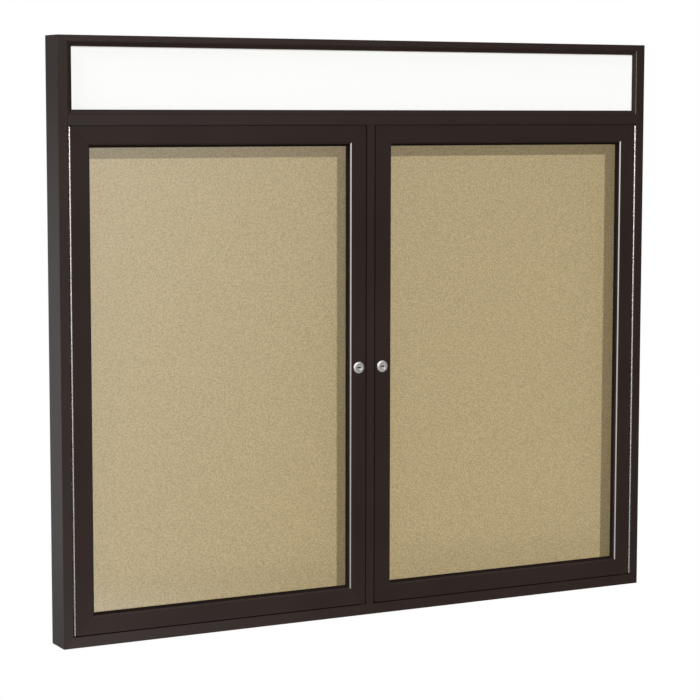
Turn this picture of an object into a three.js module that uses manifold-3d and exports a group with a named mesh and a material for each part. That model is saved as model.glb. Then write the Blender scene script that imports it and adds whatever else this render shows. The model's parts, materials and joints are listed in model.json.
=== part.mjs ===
// Wall-mounted notice board: an extruded case with a header panel above two
// glazed doors, each on a full-height pin hinge and closed by a cam lock.
// Millimetres. X runs to the right, Y towards the wall, Z up.
// The origin is the middle of the face that lies against the wall.

import * as THREE from 'three';
import { mergeVertices } from 'three/addons/utils/BufferGeometryUtils.js';
import Module from 'manifold-3d';

const wasm = await Module();
wasm.setup();

// Case
const caseWidth = 1219.2;
const caseHeight = 1066.8;
const caseDepth = 57.15;
const headerHeight = 153.5;

// Clearances
const fit = 0.2;
const runGap = 0.3;
const mitreGap = 0.12;
const cutOverrun = 5;
const mergeDistance = 1e-4;

// Rails of the case, seen from the front and in section
const railWall = 1.8;
const sideFace = 17.6;
const topFace = 10.5;
const bottomFace = 19.6;
const headerRailFace = 17.8;
const mullionFace = 16;
const landingReach = 10;
const mullionLandingReach = 3.6;
const headerFinReach = 14;
const tackFinReach = 25;
const tackFinThickness = 1.6;
const rearFinReach = 14;
const webOffset = 6;
const headerTackFinReach = 14;
const headerRearFinReach = 12;

// Corner keys
const caseKeyLeg = 70;
const doorKeyLeg = 60;

// Header panel and the beads that hold it
const beadWidth = 8.5;
const beadShoulder = 1.2;
const beadDrop = 3;
const beadDepth = 5;
const headerPanelThickness = 3;

// Back panel and tackboard
const backPanelThickness = 1.5;
const coreThickness = 10.2;
const tackThickness = 1.2;
const bondLine = 0.1;
const tackEdgeGap = 1;

// Doors
const doorGap = 1.9;
const doorThickness = 16;
const doorFace = 30;
const doorBevelWidth = 3.1;
const doorBevelDepth = 0.8;
const doorCornerRadius = 4;
const glazingChannelFront = 8.6;
const glazingChannelWidth = 6;
const glazingChannelDepth = 6;
const doorWall = 1.8;
const acrylicThickness = 3;
const glazingSealBase = 1.5;
const glazingSealLip = 4.2;
const glazingSealRearLip = 0.4;
const weatherSealWidth = 2.8;
const weatherSealHeight = 2;
const weatherSealInset = 0.6;

// Pin hinges
const pinRadius = 1.05;
const pinClearance = 0.3;
const knuckleWall = 0.95;
const leafThickness = 0.9;
const leafSideGap = 0.4;
const leafDepth = 15;
const hingeEndInset = 0.8;
const knuckleCount = 17;
const knuckleClearance = 0.6;
const knuckleSides = 12;

// Cam locks
const lockInset = 14.9;
const lockHeadRadius = 10.9;
const lockRim = 1;
const lockCrown = 3.4;
const lockCrownSteps = 5;
const lockBodyRadius = 8;
const plugRadius = 5.8;
const plugClearance = 0.4;
const plugTail = 7;
const tailClearance = 0.3;
const keywayLength = 7.4;
const keywayWidth = 1.5;
const keywayDepth = 9;
const nutFlats = 18;
const nutThickness = 2.6;
const camThickness = 2.2;
const camClearance = 0.5;
const camReach = 23;
const camTipWidth = 11;
const camHubRadius = 8.6;
const camHubSteps = 12;
const camScrewHeadRadius = 4.6;
const camScrewHeadHeight = 2.2;
const camScrewRadius = 1.7;
const camScrewLength = 9;
const lockSides = 24;

// Sizes that follow from those above
const barrelRadius = pinRadius + pinClearance + knuckleWall;
const hingeGap = 2 * (barrelRadius + leafSideGap);
const doorWidth = caseWidth / 2 - mullionFace / 2 - doorGap - sideFace - hingeGap;
const doorHeight = caseHeight - headerHeight - 2 * doorGap - bottomFace;
const doorCentreX = mullionFace / 2 + doorGap + doorWidth / 2;
const doorCentreZ = bottomFace + doorGap + doorHeight / 2 - caseHeight / 2;
const hingeX = caseWidth / 2 - sideFace - hingeGap / 2;
const hingeLength = doorHeight - 2 * hingeEndInset;
const headerRailTop = caseHeight / 2 - headerHeight + headerRailFace;
const headerRailBottom = headerRailTop - headerRailFace;

// Depths behind the front plane
const landingFront = doorThickness + fit + weatherSealHeight + runGap;
const landingBack = landingFront + railWall;
const backPanelFront = caseDepth - backPanelThickness;
const rearFinBack = backPanelFront - fit;
const rearFinFront = rearFinBack - railWall;
const coreBack = rearFinFront - fit;
const coreFront = coreBack - coreThickness;
const tackFront = coreFront - bondLine - tackThickness;
const tackFinBack = tackFront - fit;
const tackFinFront = tackFinBack - tackFinThickness;
const headerPanelFront = beadDepth + fit;
const headerBackerFront = headerPanelFront + headerPanelThickness + fit;
const headerBackerBack = landingFront - fit;

// Finishes
function finish(color, metalness, roughness) {
  return new THREE.MeshStandardMaterial({ color, metalness, roughness });
}
const bronze = finish(0x46393a, 0.55, 0.45);
const bronzeInside = finish(0x3a302f, 0.5, 0.55);
const whitePanel = finish(0xfafafa, 0, 0.5);
const board = finish(0x9a7b55, 0, 0.9);
const tan = finish(0xb8a988, 0, 0.85);
const galvanised = finish(0x9fa3a6, 0.8, 0.5);
const rubber = finish(0x1b1b1c, 0, 0.8);
const nickel = finish(0xa8a29c, 0.95, 0.3);
const zinc = finish(0x8f9498, 0.85, 0.45);
const clear = new THREE.MeshStandardMaterial({
  color: 0xf4f8f8,
  metalness: 0,
  roughness: 0.05,
  transparent: true,
  opacity: 0.25,
});

// Solids and plates
function toSolid(geometry) {
  const bare = geometry.clone();
  bare.deleteAttribute('normal');
  bare.deleteAttribute('uv');
  const merged = mergeVertices(bare, mergeDistance);
  return new wasm.Manifold(new wasm.Mesh({
    numProp: 3,
    vertProperties: Float32Array.from(merged.attributes.position.array),
    triVerts: Uint32Array.from(merged.index.array),
  }));
}

function toGeometry(solid) {
  const mesh = solid.getMesh();
  const geometry = new THREE.BufferGeometry();
  geometry.setAttribute('position', new THREE.BufferAttribute(mesh.vertProperties, 3));
  geometry.setIndex(new THREE.BufferAttribute(mesh.triVerts, 1));
  const flat = geometry.toNonIndexed();
  flat.computeVertexNormals();
  return flat;
}

function shapeOf(points, holes = []) {
  const shape = new THREE.Shape(points.map(([a, b]) => new THREE.Vector2(a, b)));
  for (const hole of holes) {
    shape.holes.push(new THREE.Path(hole.map(([a, b]) => new THREE.Vector2(a, b))));
  }
  return shape;
}

function extrude(shape, depth) {
  return new THREE.ExtrudeGeometry(shape, { depth, bevelEnabled: false, steps: 1 });
}

function rectangle(left, bottom, right, top) {
  return [[left, bottom], [right, bottom], [right, top], [left, top]];
}

function centredRectangle(width, height, inset = 0) {
  const halfWidth = width / 2 - inset;
  const halfHeight = height / 2 - inset;
  return rectangle(-halfWidth, -halfHeight, halfWidth, halfHeight);
}

function polygon(radius, sides, turn = 0) {
  const points = [];
  for (let i = 0; i < sides; i += 1) {
    const angle = turn + (i * 2 * Math.PI) / sides;
    points.push([radius * Math.cos(angle), radius * Math.sin(angle)]);
  }
  return points;
}

function roundedRectangle(width, height, radius, steps) {
  const points = [];
  const corners = [[1, 1, 0], [-1, 1, 1], [-1, -1, 2], [1, -1, 3]];
  for (const [signX, signY, quarter] of corners) {
    for (let i = 0; i <= steps; i += 1) {
      const angle = ((quarter + i / steps) * Math.PI) / 2;
      const x = signX * (width / 2 - radius) + radius * Math.cos(angle);
      const y = signY * (height / 2 - radius) + radius * Math.sin(angle);
      points.push([x, y]);
    }
  }
  return points;
}

// A plate whose outline is drawn in X and Z, from depth front to depth back
function plate(points, holes, front, back) {
  const geometry = extrude(shapeOf(points, holes), back - front);
  geometry.rotateX(Math.PI / 2);
  geometry.translate(0, back, 0);
  return geometry;
}

function block(x0, x1, y0, y1, z0, z1) {
  const geometry = new THREE.BoxGeometry(x1 - x0, y1 - y0, z1 - z0);
  geometry.translate((x0 + x1) / 2, (y0 + y1) / 2, (z0 + z1) / 2);
  return geometry;
}

function roundBar(radius, front, back, sides) {
  const geometry = new THREE.CylinderGeometry(radius, radius, back - front, sides);
  geometry.translate(0, (front + back) / 2, 0);
  return geometry;
}

// An extrusion with cut ends. Its section is drawn in u, inwards from the outer
// edge, and v, back from the front. An end at run w lies at reach - u * slope.
function cutBar(contour, holes, low, high) {
  const geometry = extrude(shapeOf(contour, holes), 1);
  const position = geometry.attributes.position;
  for (let i = 0; i < position.count; i += 1) {
    const u = position.getX(i);
    const highEnd = high.reach - u * high.slope - mitreGap;
    const lowEnd = low.reach - u * low.slope - mitreGap;
    position.setZ(i, position.getZ(i) > 0 ? highEnd : -lowEnd);
  }
  geometry.computeVertexNormals();
  return geometry;
}

// Turns about Y that put a bar's inward direction at each side of a frame
const sideTurn = { left: 0, top: Math.PI / 2, right: Math.PI, bottom: -Math.PI / 2 };

function setInFrame(mesh, side, width, height) {
  const offset = {
    left: [-width / 2, 0],
    right: [width / 2, 0],
    top: [0, height / 2],
    bottom: [0, -height / 2],
  }[side];
  mesh.rotation.y = sideTurn[side];
  mesh.position.set(offset[0], 0, offset[1]);
}

const noticeBoard = new THREE.Group();
const front = new THREE.Group();
front.position.y = -caseDepth;
noticeBoard.add(front);

function addPiece(parent, name, geometry, material) {
  const mesh = new THREE.Mesh(geometry, material);
  mesh.name = name;
  parent.add(mesh);
  return mesh;
}

// Case rails
const landing = (reach) => ({ reach, front: landingFront, back: landingBack });
const tackFin = { reach: tackFinReach, front: tackFinFront, back: tackFinBack };
const rearFin = { reach: rearFinReach, front: rearFinFront, back: rearFinBack };
const sideFins = [landing(sideFace + hingeGap + landingReach), tackFin, rearFin];
const topFins = [landing(topFace + headerFinReach), rearFin];
const bottomFins = [landing(bottomFace + doorGap + landingReach), tackFin, rearFin];

function railContour(face, fins) {
  const points = [[0, 0], [face, 0]];
  fins.forEach((fin, index) => {
    const root = index === 0 ? face : railWall;
    points.push([root, fin.front], [fin.reach, fin.front]);
    points.push([fin.reach, fin.back], [railWall, fin.back]);
  });
  points.push([railWall, caseDepth], [0, caseDepth]);
  return points;
}

function chamber(face) {
  return rectangle(railWall, railWall, face - railWall, landingFront);
}

function caseRail(name, side, face, fins, lowSlope, highSlope) {
  const reach = side === 'left' || side === 'right' ? caseHeight / 2 : caseWidth / 2;
  const low = { reach, slope: lowSlope };
  const high = { reach, slope: highSlope };
  const geometry = cutBar(railContour(face, fins), [chamber(face)], low, high);
  setInFrame(addPiece(front, name, geometry, bronze), side, caseWidth, caseHeight);
}

const topSlope = topFace / sideFace;
const bottomSlope = bottomFace / sideFace;
caseRail('left_side_rail', 'left', sideFace, sideFins, bottomSlope, topSlope);
caseRail('right_side_rail', 'right', sideFace, sideFins, topSlope, bottomSlope);
caseRail('top_rail', 'top', topFace, topFins, 1 / topSlope, 1 / topSlope);
caseRail('bottom_rail', 'bottom', bottomFace, bottomFins, 1 / bottomSlope, 1 / bottomSlope);

// Header rail between the header and the doors, coped round the side rails
function headerRailContour() {
  const webBack = webOffset + railWall;
  return [
    [0, 0],
    [headerRailFace, 0],
    [headerRailFace, landingFront],
    [headerRailFace + doorGap + landingReach, landingFront],
    [headerRailFace + doorGap + landingReach, landingBack],
    [webBack, landingBack],
    [webBack, tackFinFront],
    [webBack + headerTackFinReach, tackFinFront],
    [webBack + headerTackFinReach, tackFinBack],
    [webBack, tackFinBack],
    [webBack, rearFinFront],
    [webBack + headerRearFinReach, rearFinFront],
    [webBack + headerRearFinReach, rearFinBack],
    [webOffset, rearFinBack],
    [webOffset, landingBack],
    [-headerFinReach, landingBack],
    [-headerFinReach, landingFront],
    [0, landingFront],
  ];
}

function sideRailCope(sign) {
  const outer = caseWidth / 2 + cutOverrun;
  const spans = sideFins.map((fin) => [fin.reach, fin.front - fit, fin.back + fit]);
  spans.push([sideFace, -cutOverrun, landingBack + fit]);
  let cope = null;
  for (const [reach, spanFront, spanBack] of spans) {
    const inner = caseWidth / 2 - reach - fit;
    const ends = [sign * inner, sign * outer].sort((a, b) => a - b);
    const tall = 2 * headerHeight;
    const part = toSolid(block(ends[0], ends[1], spanFront, spanBack, -tall, tall));
    cope = cope ? cope.add(part) : part;
  }
  return cope;
}

const headerRailReach = caseWidth / 2 - railWall - fit;
const squareEnd = { reach: headerRailReach, slope: 0 };
const headerRailBar = cutBar(
  headerRailContour(),
  [chamber(headerRailFace)],
  squareEnd,
  squareEnd,
);
headerRailBar.rotateY(sideTurn.top);
const headerRailSolid = toSolid(headerRailBar)
  .subtract(sideRailCope(-1))
  .subtract(sideRailCope(1));
const headerRail = addPiece(front, 'header_rail', toGeometry(headerRailSolid), bronze);
headerRail.position.z = headerRailTop;

// Mullion between the doors, notched round the landing fins above and below
const mullionTop = headerRailBottom - fit;
const mullionBottom = bottomFace - caseHeight / 2 + fit;
const mullionLength = mullionTop - mullionBottom;
const flangeHalf = mullionFace / 2 + doorGap + mullionLandingReach;

function mullionGeometry() {
  const half = mullionFace / 2;
  const contour = [
    [-half, 0],
    [half, 0],
    [half, landingFront],
    [flangeHalf, landingFront],
    [flangeHalf, landingBack],
    [-flangeHalf, landingBack],
    [-flangeHalf, landingFront],
    [-half, landingFront],
  ];
  const hollow = rectangle(railWall - half, railWall, half - railWall, landingFront);
  let solid = toSolid(extrude(shapeOf(contour, [hollow]), mullionLength));
  const notch = doorGap + landingReach;
  const wide = flangeHalf + cutOverrun;
  const notchFront = landingFront - fit;
  const notchBack = landingBack + cutOverrun;
  const lowEnd = [-cutOverrun, notch];
  const highEnd = [mullionLength - notch, mullionLength + cutOverrun];
  for (const [z0, z1] of [lowEnd, highEnd]) {
    solid = solid.subtract(toSolid(block(-wide, wide, notchFront, notchBack, z0, z1)));
  }
  return toGeometry(solid);
}
addPiece(front, 'center_mullion', mullionGeometry(), bronze).position.z = mullionBottom;

// Corner keys, in the chambers of the rails that meet at a corner
function cornerKey(signX, signZ, sideWidth, endHeight, leg, wall, depthFront, depthBack) {
  const slope = endHeight / sideWidth;
  const near = wall + runGap;
  const farX = Math.min(sideWidth - wall, (endHeight - wall) / slope) - runGap;
  const farZ = Math.min(endHeight - wall, (sideWidth - wall) * slope) - runGap;
  const outline = [[near, near], [leg, near], [leg, farZ], [farX, farZ], [farX, leg], [near, leg]];
  const placed = outline.map(([x, z]) => [-signX * x, -signZ * z]);
  return plate(placed, [], depthFront, depthBack);
}

function addCornerKeys(parent, prefix, width, height, widths, leg, wall, depths) {
  const places = [
    ['top', 'left', -1, 1],
    ['top', 'right', 1, 1],
    ['bottom', 'left', -1, -1],
    ['bottom', 'right', 1, -1],
  ];
  for (const [end, side, signX, signZ] of places) {
    const key = cornerKey(signX, signZ, widths.side, widths[end], leg, wall, ...depths);
    const mesh = addPiece(parent, `${prefix}${end}_${side}_corner_key`, key, zinc);
    mesh.position.set((signX * width) / 2, 0, (signZ * height) / 2);
  }
}

const caseWidths = { side: sideFace, top: topFace, bottom: bottomFace };
const caseKeyDepths = [railWall + runGap, landingFront - runGap];
addCornerKeys(front, 'case_', caseWidth, caseHeight, caseWidths, caseKeyLeg, railWall, caseKeyDepths);

// Header panel, the board behind it and its four beads
const header = new THREE.Group();
const headerOpeningWidth = caseWidth - 2 * sideFace;
const headerOpeningHeight = headerHeight - headerRailFace - topFace;
header.position.z = caseHeight / 2 - topFace - headerOpeningHeight / 2;
front.add(header);

const headerSheet = centredRectangle(headerOpeningWidth, headerOpeningHeight, runGap);
const headerPanelBack = headerPanelFront + headerPanelThickness;
addPiece(header, 'header_panel', plate(headerSheet, [], headerPanelFront, headerPanelBack), whitePanel);
addPiece(header, 'header_backer', plate(headerSheet, [], headerBackerFront, headerBackerBack), board);

const beadContour = [
  [0, 0],
  [beadShoulder, 0],
  [beadWidth, beadDrop],
  [beadWidth, beadDepth],
  [0, beadDepth],
];
for (const side of ['top', 'bottom', 'left', 'right']) {
  const width = headerOpeningWidth - 2 * fit;
  const height = headerOpeningHeight - 2 * fit;
  const upright = side === 'left' || side === 'right';
  const end = { reach: (upright ? height : width) / 2, slope: 1 };
  const bead = addPiece(header, `header_bead_${side}`, cutBar(beadContour, [], end, end), bronze);
  setInFrame(bead, side, width, height);
}

// Back panel, tackboard core and tack surface
const backInset = railWall + fit;
const backOutline = centredRectangle(caseWidth, caseHeight, backInset);
addPiece(front, 'back_panel', plate(backOutline, [], backPanelFront, caseDepth), galvanised);

const boardTop = headerRailTop - webOffset - railWall - tackEdgeGap;
const boardBottom = railWall + tackEdgeGap - caseHeight / 2;
const boardHalf = caseWidth / 2 - railWall - tackEdgeGap;
const boardOutline = rectangle(-boardHalf, boardBottom, boardHalf, boardTop);
addPiece(front, 'tackboard_core', plate(boardOutline, [], coreFront, coreBack), board);
addPiece(front, 'tack_surface', plate(boardOutline, [], tackFront, coreFront - bondLine), tan);

// Doors
const channelBack = glazingChannelFront + glazingChannelWidth;
const doorLip = doorFace + doorBevelWidth;
const channelFloor = doorLip - glazingChannelDepth;
const doorContour = [
  [0, 0],
  [doorFace, 0],
  [doorLip, doorBevelDepth],
  [doorLip, glazingChannelFront],
  [channelFloor, glazingChannelFront],
  [channelFloor, channelBack],
  [doorLip, channelBack],
  [doorLip, doorThickness],
  [0, doorThickness],
];
const doorChamber = rectangle(doorWall, doorWall, channelFloor - doorWall, doorThickness - doorWall);
const cornerSteps = 4;

function doorMember(side, withLockHole) {
  const upright = side === 'left' || side === 'right';
  const length = upright ? doorHeight : doorWidth;
  const across = upright ? doorWidth : doorHeight;
  const end = { reach: length / 2, slope: 1 };
  let solid = toSolid(cutBar(doorContour, [doorChamber], end, end));
  const rounded = roundedRectangle(across, length, doorCornerRadius, cornerSteps);
  const outline = plate(rounded, [], -cutOverrun, doorThickness + cutOverrun);
  outline.translate(across / 2, 0, 0);
  solid = solid.intersect(toSolid(outline));
  if (withLockHole) {
    const hole = roundBar(lockBodyRadius + runGap, -cutOverrun, doorThickness + cutOverrun, lockSides);
    hole.translate(lockInset, 0, 0);
    solid = solid.subtract(toSolid(hole));
  }
  return toGeometry(solid);
}

const acrylicInset = channelFloor + fit + glazingSealBase + fit;
const acrylicFront = glazingChannelFront + (glazingChannelWidth - acrylicThickness) / 2;

function glazingSealGeometry() {
  const outer = centredRectangle(doorWidth, doorHeight, channelFloor + fit);
  const pocket = centredRectangle(doorWidth, doorHeight, acrylicInset - fit);
  const frontHole = centredRectangle(doorWidth, doorHeight, doorLip + glazingSealLip);
  const rearHole = centredRectangle(doorWidth, doorHeight, doorLip + glazingSealRearLip);
  const sealFront = glazingChannelFront + fit;
  const sealBack = channelBack - fit;
  const acrylicBack = acrylicFront + acrylicThickness;
  const bodyRing = toSolid(plate(outer, [pocket], sealFront, sealBack));
  const frontRing = toSolid(plate(outer, [frontHole], sealFront, acrylicFront - fit));
  const rearRing = toSolid(plate(outer, [rearHole], acrylicBack + fit, sealBack));
  return toGeometry(bodyRing.add(frontRing).add(rearRing));
}

// One leaf of a pin hinge about the hinge axis. own is 0 for the leaf that holds
// the even knuckles and 1 for the odd ones; the leaf lies on the side of sign.
function hingeLeafGeometry(own, sign) {
  const pitch = hingeLength / knuckleCount;
  const notch = barrelRadius + runGap;
  const comb = [[leafDepth, -hingeLength / 2], [leafDepth, hingeLength / 2], [notch, hingeLength / 2]];
  const bore = polygon(pinRadius + pinClearance, knuckleSides);
  const ring = shapeOf(polygon(barrelRadius, knuckleSides), [bore]);
  const knuckleLength = pitch - knuckleClearance;
  const knuckles = [];
  for (let k = knuckleCount - 1; k >= 0; k -= 1) {
    if (k % 2 === own) {
      const low = (k * pitch) - hingeLength / 2 + knuckleClearance / 2;
      const high = low + knuckleLength;
      comb.push([notch, high], [0, high], [0, low], [notch, low]);
      const knuckle = extrude(ring, knuckleLength);
      knuckle.translate(0, 0, low);
      knuckles.push(toSolid(knuckle));
    }
  }
  comb.push([notch, -hingeLength / 2]);
  const sheet = extrude(shapeOf(comb), leafThickness);
  const toLeafPlane = new THREE.Matrix4().makeBasis(
    new THREE.Vector3(0, 1, 0),
    new THREE.Vector3(0, 0, 1),
    new THREE.Vector3(1, 0, 0),
  );
  sheet.applyMatrix4(toLeafPlane);
  sheet.translate(sign > 0 ? barrelRadius - leafThickness : -barrelRadius, 0, 0);
  let solid = toSolid(sheet);
  for (const knuckle of knuckles) {
    solid = solid.add(knuckle);
  }
  return toGeometry(solid);
}

function pinGeometry() {
  const pin = extrude(shapeOf(polygon(pinRadius, knuckleSides)), hingeLength);
  pin.translate(0, 0, -hingeLength / 2);
  return pin;
}

// Cam lock about its own axis, with depth along Y
const camFront = landingBack + camClearance;
const camBack = camFront + camThickness;
const housingBack = camFront - runGap;
const nutFront = doorThickness + fit;
const screwHeadFront = camBack + fit;

function crownDepth(radius) {
  const rise = lockCrown - lockRim;
  return -(lockRim + rise * (1 - (radius / lockHeadRadius) ** 2));
}

function lockHousingGeometry() {
  const boreRadius = plugRadius + plugClearance;
  const points = [[boreRadius, housingBack], [lockBodyRadius, housingBack], [lockBodyRadius, -fit]];
  points.push([lockHeadRadius, -fit]);
  for (let i = 0; i <= lockCrownSteps; i += 1) {
    const radius = lockHeadRadius + ((boreRadius - lockHeadRadius) * i) / lockCrownSteps;
    points.push([radius, crownDepth(radius)]);
  }
  points.push(points[0]);
  const profile = points.reverse().map(([r, y]) => new THREE.Vector2(r, y));
  return new THREE.LatheGeometry(profile, lockSides);
}

function lockPlugGeometry() {
  const face = crownDepth(plugRadius);
  const points = [
    [0, crownDepth(0)],
    [plugRadius / 2, crownDepth(plugRadius / 2)],
    [plugRadius, face],
    [plugRadius, housingBack],
    [0, housingBack],
  ];
  const profile = points.map(([r, y]) => new THREE.Vector2(r, y));
  let solid = toSolid(new THREE.LatheGeometry(profile, lockSides));
  const tail = plate(centredRectangle(plugTail, plugTail), [], housingBack - cutOverrun, camBack);
  solid = solid.add(toSolid(tail));
  const halfSlot = keywayLength / 2;
  const halfWidth = keywayWidth / 2;
  const slotFront = -lockCrown - cutOverrun;
  const slot = block(-halfSlot, halfSlot, slotFront, face + keywayDepth, -halfWidth, halfWidth);
  const screwHole = roundBar(
    camScrewRadius + runGap,
    screwHeadFront - camScrewLength - runGap,
    camBack + cutOverrun,
    lockSides,
  );
  return toGeometry(solid.subtract(toSolid(slot)).subtract(toSolid(screwHole)));
}

function camGeometry() {
  const outline = [];
  for (let i = 0; i <= camHubSteps; i += 1) {
    const angle = (i * Math.PI) / camHubSteps;
    outline.push([camHubRadius * Math.cos(angle), camHubRadius * Math.sin(angle)]);
  }
  outline.push([-camTipWidth / 2, -camReach], [camTipWidth / 2, -camReach]);
  const hole = centredRectangle(plugTail, plugTail, -tailClearance);
  return plate(outline, [hole], camFront, camBack);
}

function camScrewGeometry() {
  const headBack = screwHeadFront + camScrewHeadHeight;
  const shankFront = screwHeadFront - camScrewLength;
  const head = toSolid(roundBar(camScrewHeadRadius, screwHeadFront, headBack, lockSides));
  const shank = toSolid(roundBar(camScrewRadius, shankFront, headBack, lockSides));
  return toGeometry(head.add(shank));
}

function nutGeometry() {
  const corner = nutFlats / Math.sqrt(3);
  const bore = polygon(lockBodyRadius + runGap, lockSides);
  return plate(polygon(corner, 6), [bore], nutFront, nutFront + nutThickness);
}

function addDoor(hand, sign) {
  const door = new THREE.Group();
  door.position.set(sign * doorCentreX, 0, doorCentreZ);
  front.add(door);
  const hingeSide = hand;
  const lockSide = hand === 'left' ? 'right' : 'left';
  const memberNames = { [hingeSide]: 'hinge_stile', [lockSide]: 'lock_stile' };
  memberNames.top = 'top_rail';
  memberNames.bottom = 'bottom_rail';
  for (const side of [hingeSide, lockSide, 'top', 'bottom']) {
    const geometry = doorMember(side, side === lockSide);
    const member = addPiece(door, `${hand}_door_${memberNames[side]}`, geometry, bronze);
    setInFrame(member, side, doorWidth, doorHeight);
  }
  const doorWidths = { side: channelFloor, top: channelFloor, bottom: channelFloor };
  const keyDepths = [doorWall + runGap, doorThickness - doorWall - runGap];
  addCornerKeys(door, `${hand}_door_`, doorWidth, doorHeight, doorWidths, doorKeyLeg, doorWall, keyDepths);

  const pane = centredRectangle(doorWidth, doorHeight, acrylicInset);
  const acrylicBack = acrylicFront + acrylicThickness;
  addPiece(door, `${hand}_door_acrylic_window`, plate(pane, [], acrylicFront, acrylicBack), clear);
  addPiece(door, `${hand}_door_glazing_seal`, glazingSealGeometry(), rubber);
  const sealOuter = centredRectangle(doorWidth, doorHeight, weatherSealInset);
  const sealInner = centredRectangle(doorWidth, doorHeight, weatherSealInset + weatherSealWidth);
  const sealFront = doorThickness + fit;
  const seal = plate(sealOuter, [sealInner], sealFront, sealFront + weatherSealHeight);
  addPiece(door, `${hand}_door_weather_seal`, seal, rubber);

  const hinge = new THREE.Group();
  hinge.position.set(sign * hingeX, 0, doorCentreZ);
  front.add(hinge);
  addPiece(hinge, `${hand}_hinge_case_leaf`, hingeLeafGeometry(0, sign), bronze);
  addPiece(hinge, `${hand}_hinge_door_leaf`, hingeLeafGeometry(1, -sign), bronze);
  addPiece(hinge, `${hand}_hinge_pin`, pinGeometry(), zinc);

  const lock = new THREE.Group();
  lock.position.set(sign * (mullionFace / 2 + doorGap + lockInset), 0, doorCentreZ);
  front.add(lock);
  addPiece(lock, `${hand}_lock_housing`, lockHousingGeometry(), nickel);
  addPiece(lock, `${hand}_lock_nut`, nutGeometry(), zinc);
  addPiece(lock, `${hand}_lock_plug`, lockPlugGeometry(), nickel);
  addPiece(lock, `${hand}_lock_cam`, camGeometry(), zinc);
  addPiece(lock, `${hand}_lock_cam_screw`, camScrewGeometry(), zinc);
}

addDoor('left', -1);
addDoor('right', 1);

export default noticeBoard;
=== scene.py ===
"""Wall-mounted notice board: finishes, fastenings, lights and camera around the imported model.

Metres. X runs to the right, Y towards the wall, Z up; the back lies in the plane Y = 0.
"""
import json
import math

import bmesh
import bpy
from mathutils import Matrix, Vector


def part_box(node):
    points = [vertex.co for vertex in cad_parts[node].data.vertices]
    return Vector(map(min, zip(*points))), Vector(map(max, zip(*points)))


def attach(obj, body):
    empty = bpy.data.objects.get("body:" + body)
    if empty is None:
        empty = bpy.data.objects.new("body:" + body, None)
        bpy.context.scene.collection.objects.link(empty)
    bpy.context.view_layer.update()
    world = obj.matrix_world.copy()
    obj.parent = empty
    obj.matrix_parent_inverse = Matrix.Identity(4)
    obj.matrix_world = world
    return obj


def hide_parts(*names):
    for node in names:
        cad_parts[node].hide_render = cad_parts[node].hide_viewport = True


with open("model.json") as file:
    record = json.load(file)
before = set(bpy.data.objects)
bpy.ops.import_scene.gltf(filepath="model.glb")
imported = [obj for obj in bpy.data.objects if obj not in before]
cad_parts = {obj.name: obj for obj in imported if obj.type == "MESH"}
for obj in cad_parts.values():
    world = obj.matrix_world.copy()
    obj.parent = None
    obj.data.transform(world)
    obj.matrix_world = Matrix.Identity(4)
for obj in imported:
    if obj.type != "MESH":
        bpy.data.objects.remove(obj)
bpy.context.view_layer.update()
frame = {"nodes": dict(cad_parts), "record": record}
nodes = frame["nodes"]
scene = bpy.context.scene

MM = 0.001

# Camera
CAMERA_PLACE = (-2.018942, -3.726111, 0.403168)
CAMERA_YAW = math.radians(28.3052)
CAMERA_PITCH = math.radians(-5.9811)
CAMERA_ROLL = math.radians(0.0906)
PICTURE_SIDE = 700
FOCAL_PIXELS = 2273.365
SENSOR_WIDTH = 36.0

# Light on the board. A fill light from beside the camera casts no shadow, so no recess is black.
KEY_ELEVATION = math.radians(30.6)
KEY_AZIMUTH = math.radians(1.7)
KEY_WIDTH = math.radians(2.0)
KEY_STRENGTH = 2.02
KEY_COLOUR = (0.96, 0.97, 1.0)
SIDE_ELEVATION = math.radians(35)
SIDE_AZIMUTH = math.radians(-86)
SIDE_WIDTH = math.radians(12)
SIDE_STRENGTH = 2.2
REAR_ELEVATION = math.radians(28)
REAR_AZIMUTH = math.radians(104)
REAR_WIDTH = math.radians(20)
REAR_STRENGTH = 2.0
FILL_ELEVATION = math.radians(5)
FILL_AZIMUTH = math.radians(-28.3)
FILL_WIDTH = math.radians(3)
FILL_STRENGTH = 1.46
FILL_COLOUR = (1.0, 0.97, 0.87)
AMBIENT = 0.05
FLOOR_DROP = 1.9

# What gloss sees in front of the board: a dim room and soft boxes, each with its azimuth to the right
# of the front, its elevation, its half width and half height with a soft edge each, and its strength.
# Behind the board it sees a backdrop that is white to the right and greyer to the left.
ROOM = 0.08
BACKDROP_LEFT = 0.2
SOFT_BOXES = (
    ((3, 20), (0.13, 0.04), (0.40, 0.30), 1.15),
    ((5, 15), (0.206, 0.25), (0.62, 0.20), 0.8),
    ((15, 25), (0.10, 0.35), (0.10, 0.60), 0.95),
    ((16, -17.5), (0.10, 0.10), (0.03, 0.07), 2.4),
    ((-60, 38), (0.25, 0.15), (0.25, 0.15), 8.0),
    ((-159, -7), (0.40, 0.20), (0.06, 0.07), 0.38),
)

# Edges: how far they are rounded, and from which fold in degrees. A fold as steep as SHARP_FOLD is a
# corner for the shading too.
EDGE_RADIUS = 0.35 * MM
ROLLED_EDGE_RADIUS = 0.15 * MM
TURNED_EDGE_RADIUS = 0.12 * MM
EDGE_SEGMENTS = 2
RAIL_FOLD = 10
MOULDED_FOLD = 28
ROLLED_FOLD = 40
TURNED_FOLD = 35
SHARP_FOLD = 50
MITRE_ROUNDING = 0.0
STRAIGHT_SHARE = 0.995
SKIN_JOIN = 0.01 * MM
FLAT_FOLD = 0.5

# The sideways part of the normal of a slanting face that gets the painted highlight, and how far it may be
# off
HIGHLIGHT_SLANT = 0.25
HIGHLIGHT_SLANT_PLAY = 0.03

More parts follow.
